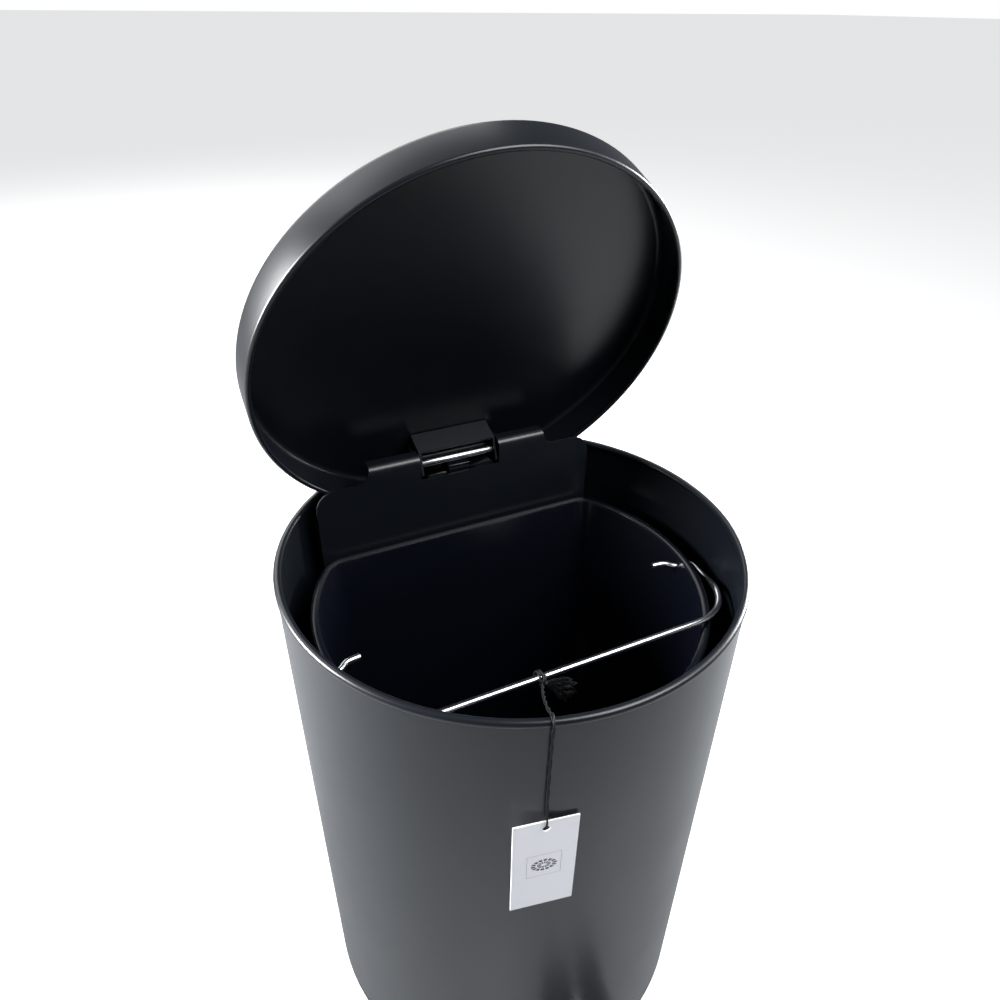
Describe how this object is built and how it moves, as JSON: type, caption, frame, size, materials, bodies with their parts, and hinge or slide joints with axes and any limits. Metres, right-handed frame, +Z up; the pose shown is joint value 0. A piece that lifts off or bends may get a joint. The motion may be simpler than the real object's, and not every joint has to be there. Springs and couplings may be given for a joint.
{
  "type": "pedal trash can",
  "caption": "Round black steel pedal trash can with its lid open, a lift-out plastic bucket with a wire handle, and a hang tag on a cord.",
  "frame": {"origin": "centre of the base's underside, on the body's axis", "axes": "+Z up along the body's axis, pedal towards -Y, lid hinge towards +Y"},
  "size_m": [0.205, 0.2525, 0.4425],
  "materials": {
    "paint": "satin black powder coat",
    "steel": "zinc plated",
    "wire": "bright drawn wire",
    "plastic": "black, fine grain",
    "nylon": "natural",
    "rubber": "black, ribbed",
    "twine": "twisted black cotton",
    "card": "white matt card"
  },
  "bodies": {
    "can": {"body_shell": "paint", "base_pan": "plastic", "floor_panel": "steel", "hinge_plate": "paint", "hinge_pin": "steel", "hinge_pin_clip": "steel", "hinge_bush_left": "nylon", "hinge_bush_right": "nylon", "rod_guide": "plastic", "rod_bush": "nylon", "pedal_bracket": "steel", "bracket_screw_1": "steel", "bracket_screw_2": "steel", "bracket_screw_3": "steel", "bracket_screw_4": "steel", "pedal_axle": "steel", "pedal_axle_clip": "steel"},
    "lid": {"lid_pan": "paint", "lid_bracket": "paint", "crank_pin": "steel"},
    "push_rod_assembly": {"push_rod": "steel", "rod_head": "plastic"},
    "pedal": {"pedal_lever": "steel", "pedal_pad": "paint", "pedal_grip": "rubber", "pad_rivet_1": "steel", "pad_rivet_2": "steel"},
    "bucket": {"inner_bucket": "plastic", "tag_cord": "twine"},
    "handle": {"bucket_handle": "wire", "cord_knot": "twine", "cord_tail": "twine"},
    "tag": {"tag_card": "card"}
  },
  "joints": [
    {"name": "lid_hinge", "type": "hinge", "parent": "can", "child": "lid", "pos_m": [0, 0.0691, 0.2863], "axis": [1, 0, 0], "range_deg": [0, 67.87]},
    {"name": "rod_slide", "type": "slide", "parent": "can", "child": "push_rod_assembly", "axis": [0, 0, 1], "range_m": [-0.0059, 0]},
    {"name": "pedal_pivot", "type": "hinge", "parent": "can", "child": "pedal", "pos_m": [0, 0.005, 0.012], "axis": [1, 0, 0], "range_deg": [-5.66, 0]},
    {"name": "bucket_lift", "type": "slide", "parent": "can", "child": "bucket", "axis": [0, 0, 1], "range_m": [0, 0.004], "deforming": ["tag_cord"]},
    {"name": "handle_swing", "type": "hinge", "parent": "bucket", "child": "handle", "pos_m": [0, -0.0125, 0.243], "axis": [-1, 0, 0], "range_deg": [0, 115]},
    {"name": "tag_swing", "type": "hinge", "parent": "bucket", "child": "tag", "pos_m": [-0.03265, -0.09884, 0.22095], "axis": [-0.1934, -0.9811, 0], "range_deg": [-10, 10]}
  ],
  "couplings": [
    {"joint": "rod_slide", "follows": "lid_hinge", "m_per_rad": -0.0049808},
    {"joint": "pedal_pivot", "follows": "lid_hinge", "ratio": -0.083395}
  ]
}
